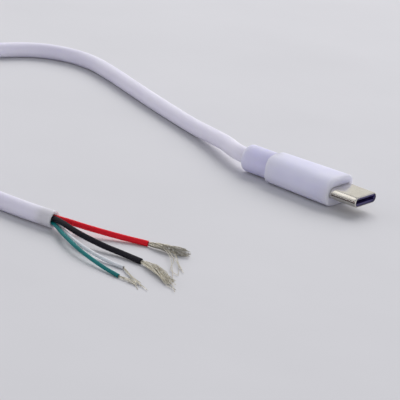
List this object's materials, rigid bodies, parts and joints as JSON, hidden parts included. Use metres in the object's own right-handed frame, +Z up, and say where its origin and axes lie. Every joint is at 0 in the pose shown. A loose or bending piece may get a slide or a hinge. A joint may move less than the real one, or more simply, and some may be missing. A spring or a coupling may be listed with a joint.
{
  "type": "usb-c plug on a short stripped lead",
  "caption": "Moulded reversible plug with a flattened oval metal shell, two-stage white moulding, short round cable and stripped coloured wires.",
  "frame": {"origin": "on the floor under the middle of the plug, halfway between the shell's lip and the neck's rear end", "axes": "+Y from the mouth along the plug towards the cable, +X across the plug, +Z up; the mouth faces -Y"},
  "size_m": [0.1079, 0.1267, 0.0065],
  "materials": {
    "nickel_shell": "drawn sheet, nickel plated, satin bright",
    "violet_insulator": "moulded, dark violet",
    "spring_steel": "stamped sheet",
    "dark_insulator": "moulded",
    "gold_contact": "stamped, gold flashed",
    "board_green": "solder masked laminate",
    "chip_black": "moulded",
    "solder": "reflowed solder",
    "inner_pe": "moulded",
    "white_pvc": "moulded, fine satin",
    "relief_pvc": "moulded, fine satin",
    "jacket_pvc": "extruded, satin",
    "red_pvc": "extruded",
    "black_pvc": "extruded",
    "white_wire_pvc": "extruded",
    "green_pvc": "extruded",
    "tinned_copper": "fine tinned strands"
  },
  "bodies": {
    "root": {"plug_shell": "nickel_shell", "front_housing": "violet_insulator", "latch_plate": "spring_steel", "upper_ground_spring": "spring_steel", "lower_ground_spring": "spring_steel", "upper_contact_carrier": "dark_insulator", "lower_contact_carrier": "dark_insulator", "contact_a1": "gold_contact", "contact_a4": "gold_contact", "contact_a5": "gold_contact", "contact_a6": "gold_contact", "contact_a7": "gold_contact", "contact_a9": "gold_contact", "contact_a12": "gold_contact", "contact_b1": "gold_contact", "contact_b4": "gold_contact", "contact_b5": "gold_contact", "contact_b9": "gold_contact", "contact_b12": "gold_contact", "circuit_board": "board_green", "chip_resistor": "chip_black", "wire_solder": "solder", "inner_mould": "inner_pe", "housing": "white_pvc", "strain_relief": "relief_pvc", "cable_jacket": "jacket_pvc", "red_wire": "red_pvc", "black_wire": "black_pvc", "white_wire": "white_wire_pvc", "green_wire": "green_pvc", "red_strands": "tinned_copper", "black_strands": "tinned_copper", "white_strands": "tinned_copper", "green_strands": "tinned_copper"}
  },
  "joints": []
}
